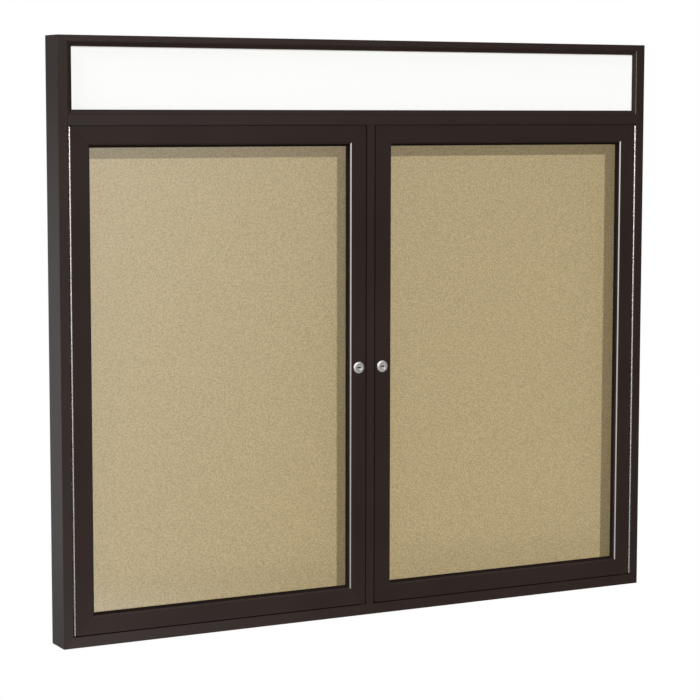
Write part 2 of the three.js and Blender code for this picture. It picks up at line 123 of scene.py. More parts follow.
# Hinges
KNUCKLE_COUNT = 17
KNUCKLE_CLEARANCE = 0.6 * MM
KNUCKLE_RADIUS = 2.3 * MM
LEAF_THICKNESS = 0.9 * MM
LEAF_NOTCH = 2.6 * MM
LEAF_RIVETS = 14
LEAF_RIVET_RADIUS = 2.2 * MM
LEAF_RIVET_HEIGHT = 0.9 * MM

# Locks
BORE_PLAY = 0.35 * MM
STEM_RADIUS = 8 * MM
SEAT_GAP = 0.2 * MM
HEAD_LIP = 0.2 * MM
HEAD_RIM = 0.8 * MM
RING_FLAT = 0.5 * MM
CROWN_STEPS = 8
PLUG_RECESS = 1.1 * MM
PLUG_DISH = 0.25 * MM
PLUG_RIM = 1.2 * MM
PLUG_RIM_SLOPE = 0.4 * MM
TAIL_HALF = 3.5 * MM
TAIL_ROOT = 1 * MM
KEYWAY_HALF_WIDTH = 3.7 * MM
KEYWAY_HALF_HEIGHT = 1.1 * MM
KEYWAY_DEPTH = 9 * MM
LATHE_STEPS = 96

# Back panel
PANEL_RECESS = 0.5 * MM
PANEL_RIVET_RADIUS = 3.2 * MM
PANEL_RIVET_INSET = 9 * MM
PANEL_RIVET_PITCH = 100 * MM

# Floor
FLOOR_HALF_WIDTH = 3
FLOOR_FRONT = -1.8
FLOOR_BACK = 0.8
FLOOR_THICKNESS = 0.02


# Shader trees
class Signal:
    """A number that varies over a surface. Sums on it add Math nodes to its finish."""

    def __init__(self, finish, socket):
        self.finish = finish
        self.socket = socket

    def combine(self, operation, first, second):
        node = self.finish.node("ShaderNodeMath", {"operation": operation}, {0: first, 1: second})
        return Signal(self.finish, node.outputs[0])

    def __add__(self, other):
        return self.combine("ADD", self, other)

    def __radd__(self, other):
        return self.combine("ADD", other, self)

    def __sub__(self, other):
        return self.combine("SUBTRACT", self, other)

    def __rsub__(self, other):
        return self.combine("SUBTRACT", other, self)

    def __mul__(self, other):
        return self.combine("MULTIPLY", self, other)

    def __rmul__(self, other):
        return self.combine("MULTIPLY", other, self)

    def __truediv__(self, other):
        return self.combine("DIVIDE", self, other)

    def size(self):
        """The value without its sign."""
        return self.combine("ABSOLUTE", self, 0)


class Finish:
    """A node material built round one Principled shader."""

    def __init__(self, name, tree=None):
        if tree is None:
            self.material = bpy.data.materials.new(name)
            self.material.use_nodes = True
            tree = self.material.node_tree
            self.shader = tree.nodes["Principled BSDF"]
        self.tree = tree

    def node(self, kind, settings=None, sockets=None):
        """Adds a node of any type: its settings first, then the values or links of its inputs."""
        node = self.tree.nodes.new(kind)
        for key, value in (settings or {}).items():
            if key == "stops":
                self.set_stops(node.color_ramp, value)
            else:
                setattr(node, key, value)
        for key, value in (sockets or {}).items():
            self.feed(node.inputs[key], value)
        return node

    def feed(self, socket, value):
        if isinstance(value, Signal):
            value = value.socket
        if isinstance(value, bpy.types.NodeSocket):
            self.tree.links.new(value, socket)
        else:
            socket.default_value = value

    def set_stops(self, ramp, stops):
        while len(ramp.elements) < len(stops):
            ramp.elements.new(1)
        for element, (position, level) in zip(ramp.elements, stops):
            element.position = position
            element.color = (level, level, level, 1)

    def set(self, **inputs):
        """Sets or links inputs of the Principled shader; base_color stands for Base Color."""
        for key, value in inputs.items():
            self.feed(self.shader.inputs[SHADER_INPUTS[key]], value)

    def place(self, stretch=(1, 1, 1)):
        """The point on the piece in metres, stretched along each axis."""
        point = self.node("ShaderNodeTexCoord").outputs["Object"]
        return self.node("ShaderNodeMapping", {}, {"Vector": point, "Scale": stretch}).outputs["Vector"]

    def noise(self, scale, detail=2.0, stretch=(1, 1, 1), roughness=0.5):
        """Noise from 0 to 1 with a feature size of about 1 / scale metres."""
        sockets = {"Vector": self.place(stretch), "Scale": scale, "Detail": detail, "Roughness": roughness}
        return Signal(self, self.node("ShaderNodeTexNoise", {}, sockets).outputs["Fac"])

    def levels(self, signal, low, high):
        """Spreads the stretch of a signal from low to high over 0 to 1."""
        sockets = {"Value": signal, "From Min": low, "From Max": high}
        return Signal(self, self.node("ShaderNodeMapRange", {"clamp": True}, sockets).outputs["Result"])

    def blend(self, amount, first, second):
        """A colour between two colours."""
        sockets = {0: amount, 6: first, 7: second}
        return self.node("ShaderNodeMix", {"data_type": "RGBA"}, sockets).outputs[2]

    def bump(self, height, strength, distance):
        sockets = {"Height": height, "Strength": strength, "Distance": distance}
        return self.node("ShaderNodeBump", {}, sockets).outputs["Normal"]


SHADER_INPUTS = {
    "base_color": "Base Color",
    "roughness": "Roughness",
    "metallic": "Metallic",
    "normal": "Normal",
    "alpha": "Alpha",
    "specular": "Specular IOR Level",
}


def colour(red, green, blue):
    return (red, green, blue, 1)


def grey(level):
    return colour(level, level, level)


def anodised_bronze(name, along, gloss):
    """Dark bronze anodising on an extrusion whose drawing lines run along one axis, with a painted highlight:
    faces marked as leaning about 14 degrees sideways get a pale metallic colour that stands for a reflected
    light line.
    """
    finish = Finish(name)
    stretch = tuple(6 if axis == along else 900 for axis in "xyz")
    lines = finish.noise(1, 3, stretch)
    cloud = finish.noise(7, 2)
    etch = finish.noise(2400, 2)
    tone = finish.levels(0.6 * cloud + 0.25 * lines + 0.15 * etch, 0.35, 0.65)
    bronze = finish.blend(tone, colour(0.0236, 0.0155, 0.0133), colour(0.0286, 0.0188, 0.0162))
    # Painted highlight: faces marked by the sharp_folds tree are pale metal (0.30, 0.285, 0.275) instead of
    # bronze.
    slant = Signal(finish, finish.node("ShaderNodeAttribute", {"attribute_name": "slant"}).outputs["Fac"])
    finish.set(
        base_color=finish.blend(slant, bronze, colour(0.30, 0.285, 0.275)),
        roughness=0.18 + 0.02 * lines + 0.02 * etch,
        metallic=0.1 + 0.9 * slant,
        specular=gloss,
        normal=finish.bump(0.5 * lines + 0.5 * etch, 0.02, 0.05 * MM),
    )
    return finish.material


def tack_vinyl():
    """Tan vinyl with a fine pebbled grain."""
    finish = Finish("tan_vinyl_grain")
    pebble = finish.noise(340, 0)
    grit = finish.noise(900, 1)
    cloud = finish.noise(5, 3)
    mottle = finish.levels(0.7 * pebble + 0.3 * grit, 0.36, 0.64)
    dark = colour(0.389, 0.311, 0.174)
    light = colour(0.565, 0.452, 0.252)
    toned = finish.blend(mottle, dark, light)
    finish.set(
        base_color=finish.blend(0.15 * cloud, toned, colour(0.461, 0.369, 0.205)),
        roughness=0.78 + 0.12 * grit,
        specular=0.06,
        normal=finish.bump(0.6 * pebble + 0.4 * grit, 0.35, 0.4 * MM),
    )
    return finish.material


def white_panel():
    finish = Finish("white_panel_gloss")
    orange_peel = finish.noise(160, 2)
    cloud = finish.noise(4, 2)
    finish.set(
        base_color=finish.blend(cloud, colour(0.895, 0.90, 0.905), colour(0.905, 0.905, 0.905)),
        roughness=0.42 + 0.06 * cloud,
        specular=0.3,
        normal=finish.bump(orange_peel, 0.03, 0.1 * MM),
    )
    return finish.material


def fibreboard():
    finish = Finish("raw_fibreboard")
    fibres = finish.noise(1, 4, (90, 400, 900))
    clumps = finish.noise(60, 4)
    mix = 0.5 * fibres + 0.5 * clumps
    finish.set(
        base_color=finish.blend(mix, colour(0.20, 0.125, 0.065), colour(0.42, 0.29, 0.17)),
        roughness=0.85 + 0.1 * fibres,
        normal=finish.bump(fibres + clumps, 0.3, 0.3 * MM),
    )
    return finish.material


def acrylic():
    """A clear pane only mirrors, little from the front and more at a flat angle, on both of its faces."""
    finish = Finish("clear_acrylic")
    facing = Signal(finish, finish.node("ShaderNodeLayerWeight", {}, {"Blend": 0.5}).outputs["Facing"])
    squared = facing * facing
    haze = finish.noise(14, 4)
    finish.set(
        base_color=grey(0.96),
        metallic=1.0,
        roughness=0.03 + 0.03 * haze,
        alpha=0.08 + 0.92 * (squared * squared * facing),
    )
    return finish.material


def black_rubber():
    finish = Finish("black_rubber_matt")
    grain = finish.noise(1600, 2)
    bloom = finish.noise(25, 3)
    finish.set(
        base_color=finish.blend(bloom, colour(0.006, 0.0038, 0.003), colour(0.010, 0.006, 0.005)),
        roughness=0.6 + 0.2 * grain,
        specular=0.08,
        normal=finish.bump(grain, 0.15, 0.1 * MM),
    )
    return finish.material


def satin_nickel():
    finish = Finish("satin_nickel_plate")
    brushing = finish.noise(1, 3, (600, 600, 5000))
    cloud = finish.noise(300, 2)
    finish.set(
        base_color=finish.blend(cloud, colour(0.38, 0.362, 0.352), colour(0.425, 0.403, 0.391)),
        metallic=0.45,
        specular=0.4,
        roughness=0.32 + 0.04 * brushing,
        normal=finish.bump(brushing, 0.02, 0.02 * MM),
    )
    return finish.material


def keyway_shade():
    """Painted shade for the walls inside a keyway: a near-black finish that stands for the shadow in the deep
    slot.
    """
    finish = Finish("keyway_shade")
    shade_grain = finish.noise(900, 2)
    finish.set(
        base_color=finish.blend(shade_grain, colour(0.010, 0.009, 0.008), colour(0.022, 0.020, 0.018)),
        roughness=0.6 + 0.2 * shade_grain,
        specular=0.1,
    )
    return finish.material


def plated_steel(name, dark, light, roughness, metallic=0.25):
    finish = Finish(name)
    spangle = finish.noise(420, 3)
    cloud = finish.noise(90, 2)
    finish.set(
        base_color=finish.blend(0.6 * spangle + 0.4 * cloud, dark, light),
        metallic=metallic,
        specular=0.25,
        roughness=roughness + 0.14 * spangle,
        normal=finish.bump(spangle, 0.1, 0.05 * MM),
    )
    return finish.material


def mill_aluminium():
    finish = Finish("mill_aluminium_sheet")
    rolling = finish.noise(1, 4, (4, 500, 700))
    stain = finish.noise(3.5, 4)
    mix = 0.5 * rolling + 0.5 * stain
    finish.set(
        base_color=finish.blend(mix, colour(0.52, 0.53, 0.545), colour(0.69, 0.70, 0.71)),
        metallic=1.0,
        roughness=0.32 + 0.14 * rolling + 0.06 * stain,
        normal=finish.bump(rolling, 0.08, 0.05 * MM),
    )
    return finish.material


def bronze_both_ways(member, gloss):
    """The bronze of level and of upright rails, whose lines run along X and along Z, each with the painted
    highlight on its slanting faces.
    """
    return {axis: anodised_bronze(f"{member}_bronze_along_{axis}", axis, gloss[axis]) for axis in "xz"}


# Hinge leaves and knuckles: partly the hinge's own plated metal, partly a painted highlight, as the pale,
# fully metallic tone in place of the bronze gives the knuckles their light line.
HINGE_HIGHLIGHT_TONES = colour(0.36, 0.34, 0.33), colour(0.44, 0.42, 0.41)
KEYWAY_SHADE = keyway_shade()
HINGE_HIGHLIGHT_METAL = plated_steel("hinge_painted_highlight_metal", *HINGE_HIGHLIGHT_TONES, 0.2, 1.0)
CASE_BRONZE = bronze_both_ways("case", {"x": 0.24, "z": 0.185})
DOOR_BRONZE = bronze_both_ways("door", {"x": 0.125, "z": 0.10})
ZINC_PLATE_TONES = colour(0.20, 0.21, 0.22), colour(0.31, 0.315, 0.32)
CAST_ZINC_TONES = colour(0.13, 0.135, 0.14), colour(0.21, 0.215, 0.22)
FINISHES = {
    "mill_aluminium": mill_aluminium(),
    "white_panel": white_panel(),
    "fibreboard": fibreboard(),
    "tan_vinyl": tack_vinyl(),
    "acrylic": acrylic(),
    "black_rubber": black_rubber(),
    "satin_nickel": satin_nickel(),
    "zinc_plated_steel": plated_steel("zinc_plate", *ZINC_PLATE_TONES, 0.38),
    "zinc_alloy": plated_steel("cast_zinc", *CAST_ZINC_TONES, 0.48),
}


# Pieces that come from the frame
def lies_level(name):
    low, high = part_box(name)
    return high.x - low.x > high.z - low.z


def finish_of(name, slot):
    if slot != "bronze_aluminium":
        return FINISHES[slot]
    shades = DOOR_BRONZE if "_door_" in name or "_bead_" in name else CASE_BRONZE
    return shades["x" if lies_level(name) else "z"]


def paint_nodes():
    for part in frame["record"]["subparts"]:
        name = part["node"]
        slots = nodes[name].data.materials
        slots.clear()
        slots.append(finish_of(name, part["material_slot"]))


class Grove:
    """A Geometry Nodes tree with named inputs."""

    def __init__(self, name, inputs):
        self.tree = bpy.data.node_groups.new(name, "GeometryNodeTree")
        face = self.tree.interface
        face.new_socket("Geometry", in_out="OUTPUT", socket_type="NodeSocketGeometry")
        face.new_socket("Geometry", in_out="INPUT", socket_type="NodeSocketGeometry")
        self.keys = {}
        for label, kind in inputs:
            socket = face.new_socket(label, in_out="INPUT", socket_type="NodeSocket" + kind)
            self.keys[label] = socket.identifier
        self.given = self.tree.nodes.new("NodeGroupInput").outputs
        self.result = self.tree.nodes.new("NodeGroupOutput").inputs["Geometry"]

    def node(self, kind, settings=None, sockets=None):
        return Finish.node(self, kind, settings, sockets)

    def feed(self, socket, value):
        if isinstance(value, bpy.types.NodeSocket):
            self.tree.links.new(value, socket)
        else:
            socket.default_value = value

    def grow(self, piece, values):
        """Runs the tree on a piece and keeps the result as its plain mesh."""
        modifier = piece.modifiers.new(self.tree.name, "NODES")
        modifier.node_group = self.tree
        for label, value in values.items():
            modifier[self.keys[label]] = value
        return settle(piece)


def settle(piece):
    """Applies every modifier of a piece to its mesh."""
    bpy.context.view_layer.update()
    graph = bpy.context.evaluated_depsgraph_get()
    mesh = bpy.data.meshes.new_from_object(piece.evaluated_get(graph), depsgraph=graph)
    piece.modifiers.clear()
    piece.data = mesh
    mesh.name = piece.name
    return piece


def skin_tree():
    """Joins the loose triangles of a frame mesh into one smooth skin."""
    grove = Grove("joined_skin", [("Join distance", "Float")])
    given = grove.given
    merged = grove.node(
        "GeometryNodeMergeByDistance", {}, {"Geometry": given["Geometry"], "Distance": given["Join distance"]}
    )
    bare = grove.node(
        "GeometryNodeRemoveAttribute", {}, {"Geometry": merged.outputs["Geometry"], "Name": "custom_normal"}
    )
    smooth = grove.node(
        "GeometryNodeSetShadeSmooth", {}, {"Geometry": bare.outputs["Geometry"], "Shade Smooth": True}
    )
    grove.feed(grove.result, smooth.outputs["Geometry"])
    return grove


SKIN = skin_tree()


def edge_tree():
    """Marks the edges to round: in full along X and Z, as the rails run, and little across a cut end."""
    grove = Grove("edges_to_round", [("Least angle", "Float"), ("Weight across", "Float")])
    ends = grove.node("GeometryNodeInputMeshEdgeVertices").outputs
    run = grove.node(
        "ShaderNodeVectorMath", {"operation": "SUBTRACT"}, {0: ends["Position 1"], 1: ends["Position 2"]}
    )
    way = grove.node("ShaderNodeVectorMath", {"operation": "NORMALIZE"}, {0: run.outputs["Vector"]})
    plain = grove.node("ShaderNodeVectorMath", {"operation": "ABSOLUTE"}, {0: way.outputs["Vector"]})
    parts = grove.node("ShaderNodeSeparateXYZ", {}, {"Vector": plain.outputs["Vector"]})
    straight = grove.node(
        "ShaderNodeMath", {"operation": "MAXIMUM"}, {0: parts.outputs["X"], 1: parts.outputs["Z"]}
    )
    along = grove.node(
        "ShaderNodeMath", {"operation": "GREATER_THAN"}, {0: straight.outputs["Value"], 1: STRAIGHT_SHARE}
    )
    full = grove.node(
        "ShaderNodeMath",
        {"operation": "MAXIMUM"},
        {0: along.outputs["Value"], 1: grove.given["Weight across"]},
    )
    fold = grove.node("GeometryNodeInputMeshEdgeAngle")
    sharp = grove.node(
        "ShaderNodeMath",
        {"operation": "GREATER_THAN"},
        {0: fold.outputs["Unsigned Angle"], 1: grove.given["Least angle"]},
    )
    weight = grove.node(
        "ShaderNodeMath", {"operation": "MULTIPLY"}, {0: full.outputs["Value"], 1: sharp.outputs["Value"]}
    )
    marked = grove.node(
        "GeometryNodeStoreNamedAttribute",
        {"data_type": "FLOAT", "domain": "EDGE"},
        {
            "Geometry": grove.given["Geometry"],
            "Name": "bevel_weight_edge",
            "Value": weight.outputs["Value"],
        },
    )
    grove.feed(grove.result, marked.outputs["Geometry"])
    return grove


def fold_tree():
    """Marks the slanting faces for the painted highlight of the bronze, and keeps the folds sharp that are
    steeper than a rounded edge has.
    """
    grove = Grove("sharp_folds", [("Least angle", "Float")])
    fold = grove.node("GeometryNodeInputMeshEdgeAngle")
    steep = grove.node(
        "FunctionNodeCompare",
        {"data_type": "FLOAT", "operation": "GREATER_THAN"},
        {0: fold.outputs["Unsigned Angle"], 1: grove.given["Least angle"]},
    )
    normal = grove.node("GeometryNodeInputNormal").outputs[0]
    facing = grove.node("ShaderNodeSeparateXYZ", {}, {"Vector": normal})
    turned = grove.node("ShaderNodeMath", {"operation": "ABSOLUTE"}, {0: facing.outputs["X"]})
    # Faces leaning about 14 degrees sideways are marked for the painted highlight.
    highlight_faces = grove.node(
        "ShaderNodeMath", {"operation": "COMPARE"}, {0: turned.outputs[0], 1: HIGHLIGHT_SLANT, 2: HIGHLIGHT_SLANT_PLAY}
    )
    marked = grove.node(
        "GeometryNodeStoreNamedAttribute",
        {"data_type": "FLOAT", "domain": "FACE"},
        {"Geometry": grove.given["Geometry"], "Name": "slant", "Value": highlight_faces.outputs[0]},
    )
    split = grove.node(
        "GeometryNodeSetShadeSmooth",
        {"domain": "EDGE"},
        {
            "Geometry": marked.outputs["Geometry"],
            "Selection": steep.outputs["Result"],
            "Shade Smooth": False,
        },
    )
    grove.feed(grove.result, split.outputs["Geometry"])
    return grove


EDGES = edge_tree()
FOLDS = fold_tree()


def shade_evenly(piece):
    """Flat faces stay flat: the light turns only over the rounded edges between them."""
    # The sharp_folds tree also marks the faces for the painted highlight of the bronze.
    folds = piece.modifiers.new("sharp_folds", "NODES")
    folds.node_group = FOLDS.tree
    folds[FOLDS.keys["Least angle"]] = math.radians(SHARP_FOLD)
    shading = piece.modifiers.new("even_shading", "WEIGHTED_NORMAL")
    shading.weight = 100
    shading.keep_sharp = True


def soften(piece, radius, least_angle, across):
    """Rounds the sharp edges of a piece as a drawn or moulded edge is."""
    skin = piece.modifiers.new("joined_skin", "NODES")
    skin.node_group = SKIN.tree
    skin[SKIN.keys["Join distance"]] = SKIN_JOIN
    flat = piece.modifiers.new("flat_faces", "DECIMATE")
    flat.decimate_type = "DISSOLVE"
    flat.angle_limit = math.radians(FLAT_FOLD)
    marks = piece.modifiers.new("edges_to_round", "NODES")
    marks.node_group = EDGES.tree
    marks[EDGES.keys["Least angle"]] = math.radians(least_angle)
    marks[EDGES.keys["Weight across"]] = across
    bevel = piece.modifiers.new("edge_radius", "BEVEL")
    bevel.width = radius
    bevel.segments = EDGE_SEGMENTS
    bevel.limit_method = "WEIGHT"
    shade_evenly(piece)


SHARP_SLOTS = ("acrylic", "fibreboard", "white_panel", "tan_vinyl")


def soften_nodes():
    for part in frame["record"]["subparts"]:
        piece = nodes[part["node"]]
        if piece.hide_render or part["material_slot"] in SHARP_SLOTS:
            continue
        if part["material_slot"] == "bronze_aluminium":
            soften(piece, EDGE_RADIUS, RAIL_FOLD, MITRE_ROUNDING)
        else:
            soften(piece, EDGE_RADIUS, MOULDED_FOLD, 1)


# Meshes
def new_piece(name, mesh, finish):
    piece = bpy.data.objects.new(name, mesh)
    scene.collection.objects.link(piece)
    mesh.materials.append(finish)
    return piece


def mesh_of(name, builder):
    """Keeps a bmesh with its faces turned outwards."""
    bmesh.ops.recalc_face_normals(builder, faces=builder.faces)
    mesh = bpy.data.meshes.new(name)
    builder.to_mesh(mesh)
    builder.free()
    return mesh


def slab(name, outline, axis, low, high):
    """A plate: its outline lies across an axis, and it is as thick as low to high."""
    spread = {"x": (1, 2), "y": (0, 2), "z": (0, 1)}[axis]
    depth = "xyz".index(axis)
    builder = bmesh.new()
    rings = []
    for level in (low, high):
        ring = []
        for first, second in outline:
            point = [0, 0, 0]
            point[spread[0]] = first
            point[spread[1]] = second
            point[depth] = level
            ring.append(builder.verts.new(point))
        rings.append(ring)
    count = len(outline)
    for i in range(count):
        j = (i + 1) % count
        builder.faces.new((rings[0][i], rings[0][j], rings[1][j], rings[1][i]))
    builder.faces.new(rings[0])
    builder.faces.new(rings[1])
    return mesh_of(name, builder)


def lathe(name, centre, profile):
    """Turns a closed profile of (radius, y) about the line through centre along Y."""
    builder = bmesh.new()
    rings = []
    for radius, y in profile:
        if radius == 0:
            rings.append([builder.verts.new((centre.x, y, centre.z))])
            continue
        ring = []
        for i in range(LATHE_STEPS):
            angle = math.tau * i / LATHE_STEPS
            across = radius * math.cos(angle)
            upward = radius * math.sin(angle)
            ring.append(builder.verts.new((centre.x + across, y, centre.z + upward)))
        rings.append(ring)
    closed = len(rings[0]) > 1
    for k in range(len(rings) - (0 if closed else 1)):
        first, second = rings[k], rings[(k + 1) % len(rings)]
        for i in range(LATHE_STEPS):
            j = (i + 1) % LATHE_STEPS
            corners = [first[k % len(first)] for k in (i, j)] + [second[k % len(second)] for k in (j, i)]
            unique = list(dict.fromkeys(corners))
            if len(unique) > 2:
                builder.faces.new(unique)
    return mesh_of(name, builder)


# Hinges
def leaf_tree():
    """Rolls a row of knuckles along a leaf and sets rivets in it."""
    grove = Grove(
        "hinge_leaf",
        [
            ("Knuckles", "Int"),
            ("First knuckle", "Vector"),
            ("Knuckle step", "Vector"),
            ("Knuckle length", "Float"),
            ("Knuckle radius", "Float"),
            ("Rivets", "Int"),
            ("First rivet", "Vector"),
            ("Rivet step", "Vector"),
            ("Rivet size", "Vector"),
            ("Finish", "Material"),
        ],
    )
    given = grove.given
    knuckle_line = grove.node(
        "GeometryNodeMeshLine",
        {"mode": "OFFSET"},
        {
            "Count": given["Knuckles"],
            "Start Location": given["First knuckle"],
            "Offset": given["Knuckle step"],
        },
    )
    barrel = grove.node(
        "GeometryNodeMeshCylinder",
        {},
        {"Vertices": 32, "Radius": given["Knuckle radius"], "Depth": given["Knuckle length"]},
    )
    knuckles = grove.node(
        "GeometryNodeInstanceOnPoints",
        {},
        {"Points": knuckle_line.outputs["Mesh"], "Instance": barrel.outputs["Mesh"]},
    )
    rivet_line = grove.node(
        "GeometryNodeMeshLine",
        {"mode": "OFFSET"},
        {"Count": given["Rivets"], "Start Location": given["First rivet"], "Offset": given["Rivet step"]},
    )
    dome = grove.node("GeometryNodeMeshUVSphere", {}, {"Segments": 20, "Rings": 10, "Radius": 1.0})
    rivets = grove.node(
        "GeometryNodeInstanceOnPoints",
        {},
        {
            "Points": rivet_line.outputs["Mesh"],
            "Instance": dome.outputs["Mesh"],
            "Scale": given["Rivet size"],
        },
    )
    joined = grove.node("GeometryNodeJoinGeometry")
    for source in (given["Geometry"], knuckles.outputs["Instances"], rivets.outputs["Instances"]):
        grove.tree.links.new(source, joined.inputs["Geometry"])
    real = grove.node("GeometryNodeRealizeInstances", {}, {"Geometry": joined.outputs["Geometry"]})
    painted = grove.node(
        "GeometryNodeSetMaterial", {}, {"Geometry": real.outputs["Geometry"], "Material": given["Finish"]}
    )
    grove.feed(grove.result, painted.outputs["Geometry"])
    return grove


def comb_outline(low, high, own, inner, outer):
    """The edge of a leaf in Y and Z, with a tab to the hinge line at each knuckle of its own."""
    pitch = (high - low) / KNUCKLE_COUNT
    notch = outer + LEAF_NOTCH if inner > outer else outer - LEAF_NOTCH
    points = [(inner, low), (inner, high), (notch, high)]
    for k in reversed(range(own, KNUCKLE_COUNT, 2)):
        bottom = low + k * pitch + KNUCKLE_CLEARANCE / 2
        top = low + (k + 1) * pitch - KNUCKLE_CLEARANCE / 2
        points += [(notch, top), (outer, top), (outer, bottom), (notch, bottom)]
    points.append((notch, low))
    return list(dict.fromkeys(points))


LEAF = leaf_tree()


def hinge_leaf(hand, part, own, sign, body):
    """One leaf of a door's full-height pin hinge. sign is the way from the pin to the leaf."""
    node = f"{hand}_hinge_{part}_leaf"
    low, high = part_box(node)
    axis_x = sum(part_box(f"{hand}_hinge_pin")[i].x for i in (0, 1)) / 2
    axis_y = low.y + KNUCKLE_RADIUS
    face = axis_x + sign * (KNUCKLE_RADIUS - LEAF_THICKNESS)
    back = axis_x + sign * KNUCKLE_RADIUS
    outline = comb_outline(low.z, high.z, own, high.y, axis_y)
    mesh = slab(f"{hand}_{part}_leaf_plate", outline, "x", min(face, back), max(face, back))
    piece = new_piece(f"{hand}_hinge_{part}_leaf_rolled", mesh, HINGE_HIGHLIGHT_METAL)
    pitch = (high.z - low.z) / KNUCKLE_COUNT
    rivet_pitch = (high.z - low.z) / LEAF_RIVETS
    rivet_y = (axis_y + LEAF_NOTCH + high.y) / 2
    LEAF.grow(
        piece,
        {
            "Knuckles": len(range(own, KNUCKLE_COUNT, 2)),
            "First knuckle": (axis_x, axis_y, low.z + (own + 0.5) * pitch),
            "Knuckle step": (0, 0, 2 * pitch),
            "Knuckle length": pitch - KNUCKLE_CLEARANCE,
            "Knuckle radius": KNUCKLE_RADIUS,
            "Rivets": LEAF_RIVETS,
            "First rivet": (face, rivet_y, low.z + rivet_pitch / 2),
            "Rivet step": (0, 0, rivet_pitch),
            "Rivet size": (LEAF_RIVET_HEIGHT, LEAF_RIVET_RADIUS, LEAF_RIVET_RADIUS),
            "Finish": HINGE_HIGHLIGHT_METAL,
        },
    )
    round_edges(piece)
    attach(piece, body)
    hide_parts(node)


def round_edges(piece):
    """The slightly rounded edges of a rolled sheet."""
    bevel = piece.modifiers.new("edge_radius", "BEVEL")
    bevel.width = ROLLED_EDGE_RADIUS
    bevel.segments = EDGE_SEGMENTS
    bevel.limit_method = "ANGLE"
    bevel.angle_limit = math.radians(ROLLED_FOLD)
    settle(piece)
    piece.data.shade_smooth()
    shading = piece.modifiers.new("even_shading", "WEIGHTED_NORMAL")
    shading.keep_sharp = False


# Locks
def axis_of(node):
    low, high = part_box(node)
    return (low + high) / 2


def lock_head(hand, body):
    """The nickel housing of a cam lock: a threaded body under a crowned ring."""
    node = f"{hand}_lock_housing"
    low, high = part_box(node)
    plug_low, plug_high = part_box(f"{hand}_lock_plug")
    head = (high.x - low.x) / 2
    bore = (plug_high.x - plug_low.x) / 2 + BORE_PLAY
    seat = -SEAT_GAP - depth_of_board()
    rim = seat - HEAD_RIM
    top = low.y
    profile = [(bore, high.y), (STEM_RADIUS, high.y), (STEM_RADIUS, seat)]
    profile += [(head - HEAD_LIP, seat), (head, seat - HEAD_LIP)]
    for i in range(CROWN_STEPS + 1):
        turn = math.radians(90) * i / CROWN_STEPS
        radius = bore + RING_FLAT + (head - bore - RING_FLAT) * math.cos(turn)
        profile.append((radius, rim + (top - rim) * math.sin(turn)))
    profile.append((bore, top + RING_FLAT))
    mesh = lathe(f"{hand}_lock_ring", axis_of(node), profile)
    piece = new_piece(f"{hand}_lock_crowned_ring", mesh, FINISHES["satin_nickel"])
    finish_turned(piece)
    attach(piece, body)
    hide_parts(node)


def depth_of_board():
    low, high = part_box("left_side_rail")
    return high.y - low.y


def finish_turned(piece):
    """Smooth shading that stays crisp at the edges of a turned piece."""
    piece.data.shade_smooth()
    bevel = piece.modifiers.new("edge_radius", "BEVEL")
    bevel.width = TURNED_EDGE_RADIUS
    bevel.segments = EDGE_SEGMENTS
    bevel.limit_method = "ANGLE"
    bevel.angle_limit = math.radians(TURNED_FOLD)
    settle(piece)
    shading = piece.modifiers.new("even_shading", "WEIGHTED_NORMAL")
    shading.keep_sharp = False


def lock_plug(hand, body):
    """The turning plug with its level keyway and square tail."""
    node = f"{hand}_lock_plug"
    low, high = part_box(node)
    housing_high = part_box(f"{hand}_lock_housing")[1]
    centre = axis_of(node)
    radius = (high.x - low.x) / 2
    face = low.y + PLUG_RECESS
    profile = [
        (0, face + PLUG_DISH),
        (radius - PLUG_RIM - PLUG_RIM_SLOPE, face + PLUG_DISH),
        (radius - PLUG_RIM, face),
        (radius, face),
        (radius, housing_high.y),
        (0, housing_high.y),
    ]
    nickel = FINISHES["satin_nickel"]
    piece = new_piece(f"{hand}_lock_turning_plug", lathe(f"{hand}_plug", centre, profile), nickel)
    tail_mesh = block_mesh(centre, TAIL_HALF, housing_high.y - TAIL_ROOT, high.y, TAIL_HALF)
    tail = new_piece("plug_tail", tail_mesh, nickel)
    slot_mesh = block_mesh(centre, KEYWAY_HALF_WIDTH, low.y - MM, face + KEYWAY_DEPTH, KEYWAY_HALF_HEIGHT)
    keyway = new_piece("keyway", slot_mesh, KEYWAY_SHADE)
    combine(piece, tail, "UNION")
    # The cut walls of the keyway take its near-black painted shade.
    combine(piece, keyway, "DIFFERENCE")
    finish_turned(piece)
    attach(piece, body)
    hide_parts(node)


def block_mesh(centre, half_width, front, back, half_height):
    outline = [
        (centre.x - half_width, centre.z - half_height),
        (centre.x + half_width, centre.z - half_height),
        (centre.x + half_width, centre.z + half_height),
        (centre.x - half_width, centre.z + half_height),
    ]
    return slab("block", outline, "y", front, back)


def combine(piece, tool, operation):
    """Joins a tool body to a piece, or cuts it out."""
    boolean = piece.modifiers.new(operation.lower(), "BOOLEAN")
    boolean.operation = operation
    boolean.object = tool
    boolean.solver = "EXACT"
    boolean.material_mode = "TRANSFER"
    settle(piece)
    bpy.data.objects.remove(tool)


